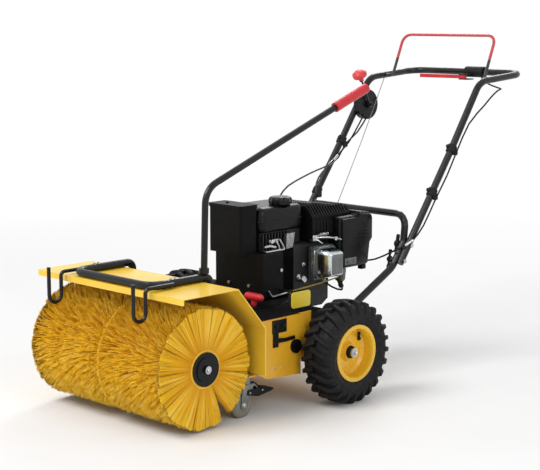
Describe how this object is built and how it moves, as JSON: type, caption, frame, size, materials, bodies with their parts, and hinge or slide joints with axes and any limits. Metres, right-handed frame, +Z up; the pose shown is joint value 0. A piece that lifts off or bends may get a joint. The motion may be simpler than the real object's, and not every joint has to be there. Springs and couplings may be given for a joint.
{
  "type": "power brush sweeper",
  "caption": "Walk-behind sweeper: swinging hooded roller brush in front, petrol engine over driven tyres, raked tube handle with levers and safety bail behind.",
  "frame": {"origin": "on the floor, under the middle of the machine's length and width", "axes": "+Z up, -Y the way the machine drives (brush in front), +X to the machine's left"},
  "size_m": [0.871, 1.8696, 1.1501],
  "materials": {
    "yellow_paint": "semi-gloss powder coat",
    "bright_yellow": "gloss",
    "bristle": "matte polypropylene strands",
    "black_paint": "satin powder coat",
    "black_plastic": "fine grained",
    "black_rubber": "matte",
    "tyre": "matte",
    "caster_rubber": "matte",
    "red_plastic": "semi-gloss",
    "red_paint": "gloss",
    "zinc_steel": "zinc plated",
    "cast_alloy": "as cast",
    "chrome": "polished",
    "cast_iron": "painted casting"
  },
  "bodies": {
    "machine": {"chassis": "yellow_paint", "swing_plate": "black_paint", "kingpins": "zinc_steel", "drive_housing": "black_paint", "belt": "black_rubber", "transmission": "cast_iron", "axle_bearings": "zinc_steel", "crankcase": "cast_alloy", "cylinder_head": "cast_alloy", "valve_cover": "chrome", "fuel_tank": "black_plastic", "muffler_guard": "black_paint", "air_box": "black_plastic", "flywheel_cover": "cast_alloy", "battery_box": "black_plastic", "rating_plate": "bright_yellow", "linkage_rod": "zinc_steel", "lower_frame": "black_paint", "upper_handle": "black_paint", "bolts": "zinc_steel", "cable_clips": "black_plastic", "clutch_cable": "black_rubber", "throttle_cable": "black_rubber", "shift_cable": "black_rubber", "brake_wire": "zinc_steel", "shift_quadrant": "black_paint", "lever_clamp": "black_plastic"},
    "crank": {"engine_pulley": "zinc_steel"},
    "drive_input": {"input_shaft": "zinc_steel"},
    "drive_wheels": {"axle": "zinc_steel", "rim_left": "yellow_paint", "rim_right": "yellow_paint", "tyre_left": "tyre", "tyre_right": "tyre"},
    "head": {"hood": "yellow_paint", "head_frame": "yellow_paint", "worm_case": "cast_iron", "collector_frame": "black_paint", "collector_hooks": "black_paint", "swing_lever": "black_paint", "lever_grip": "red_plastic", "latch_bracket": "black_paint"},
    "brush": {"brush_shaft": "black_plastic", "bristles_left": "bristle", "bristles_right": "bristle", "brush_ends": "black_plastic"},
    "worm": {"worm_shaft": "zinc_steel"},
    "caster_left": {"caster_fork_left": "zinc_steel"},
    "caster_right": {"caster_fork_right": "zinc_steel"},
    "caster_roll_left": {"caster_wheel_left": "caster_rubber"},
    "caster_roll_right": {"caster_wheel_right": "caster_rubber"},
    "lock": {"lock_pin": "red_plastic"},
    "latch": {"latch_lever": "black_paint"},
    "knob": {"side_knob": "black_plastic"},
    "cap": {"fuel_cap": "black_plastic"},
    "bail_arm": {"bail": "red_paint"},
    "clutch_arm": {"clutch_lever": "red_plastic"},
    "shift_arm": {"shift_lever": "red_plastic"},
    "wing_left": {"wing_knob_left": "black_plastic"},
    "wing_right": {"wing_knob_right": "black_plastic"}
  },
  "joints": [
    {"name": "head_swing", "type": "hinge", "parent": "machine", "child": "head", "pos_m": [0, -0.33175, 0.298], "axis": [0, 0, 1], "range_deg": [-15, 15]},
    {"name": "brush_spin", "type": "hinge", "parent": "head", "child": "brush", "pos_m": [0, -0.74075, 0.19], "axis": [1, 0, 0], "continuous": true},
    {"name": "worm_spin", "type": "hinge", "parent": "head", "child": "worm", "pos_m": [0, -0.74075, 0.23], "axis": [0, 1, 0], "continuous": true},
    {"name": "input_spin", "type": "hinge", "parent": "machine", "child": "drive_input", "pos_m": [0, -0.33175, 0.23], "axis": [0, 1, 0], "continuous": true},
    {"name": "crank_spin", "type": "hinge", "parent": "machine", "child": "crank", "pos_m": [0, -0.23675, 0.404], "axis": [0, 1, 0], "continuous": true},
    {"name": "wheel_spin", "type": "hinge", "parent": "machine", "child": "drive_wheels", "pos_m": [0, -0.20175, 0.165], "axis": [1, 0, 0], "continuous": true},
    {"name": "caster_swivel_left", "type": "hinge", "parent": "head", "child": "caster_left", "pos_m": [0.268, -0.53675, 0.11], "axis": [0, 0, 1], "continuous": true},
    {"name": "caster_spin_left", "type": "hinge", "parent": "caster_left", "child": "caster_roll_left", "pos_m": [0.268, -0.56175, 0.04], "axis": [1, 0, 0], "continuous": true},
    {"name": "caster_swivel_right", "type": "hinge", "parent": "head", "child": "caster_right", "pos_m": [-0.268, -0.53675, 0.11], "axis": [0, 0, 1], "continuous": true},
    {"name": "caster_spin_right", "type": "hinge", "parent": "caster_right", "child": "caster_roll_right", "pos_m": [-0.268, -0.56175, 0.04], "axis": [1, 0, 0], "continuous": true},
    {"name": "lock_pull", "type": "slide", "parent": "head", "child": "lock", "axis": [0, 0, 1], "range_m": [0, 0.02], "stiffness_N_per_m": 400, "springref_m": -0.01},
    {"name": "latch_turn", "type": "hinge", "parent": "head", "child": "latch", "pos_m": [0.305, -0.44675, 0.228], "axis": [1, 0, 0], "range_deg": [0, 40]},
    {"name": "knob_turn", "type": "hinge", "parent": "head", "child": "knob", "pos_m": [0.305, -0.35775, 0.196], "axis": [1, 0, 0], "continuous": true},
    {"name": "cap_turn", "type": "hinge", "parent": "machine", "child": "cap", "pos_m": [0.046, -0.15775, 0.6], "axis": [0, 0, 1], "continuous": true},
    {"name": "bail_press", "type": "hinge", "parent": "machine", "child": "bail_arm", "pos_m": [0, 0.73425, 0.99069], "axis": [-1, 0, 0], "range_deg": [0, 45], "stiffness_Nm_per_rad": 2.5, "springref_deg": -22.92},
    {"name": "clutch_pull", "type": "hinge", "parent": "machine", "child": "clutch_arm", "pos_m": [0.016, 0.87825, 1.005], "axis": [0, 0, -1], "range_deg": [0, 8], "stiffness_Nm_per_rad": 3, "springref_deg": -8.59},
    {"name": "shift_move", "type": "hinge", "parent": "machine", "child": "shift_arm", "pos_m": [-0.226, 0.59825, 0.884], "axis": [1, 0, 0], "range_deg": [-20, 20]},
    {"name": "wing_turn_left", "type": "hinge", "parent": "machine", "child": "wing_left", "pos_m": [0.213, 0.25481, 0.43806], "axis": [1, 0, 0], "continuous": true},
    {"name": "wing_turn_right", "type": "hinge", "parent": "machine", "child": "wing_right", "pos_m": [-0.213, 0.25481, 0.43806], "axis": [1, 0, 0], "continuous": true}
  ],
  "couplings": [
    {"joint": "worm_spin", "follows": "brush_spin", "ratio": 10},
    {"joint": "input_spin", "follows": "brush_spin", "ratio": 10},
    {"joint": "crank_spin", "follows": "brush_spin", "ratio": 10}
  ]
}
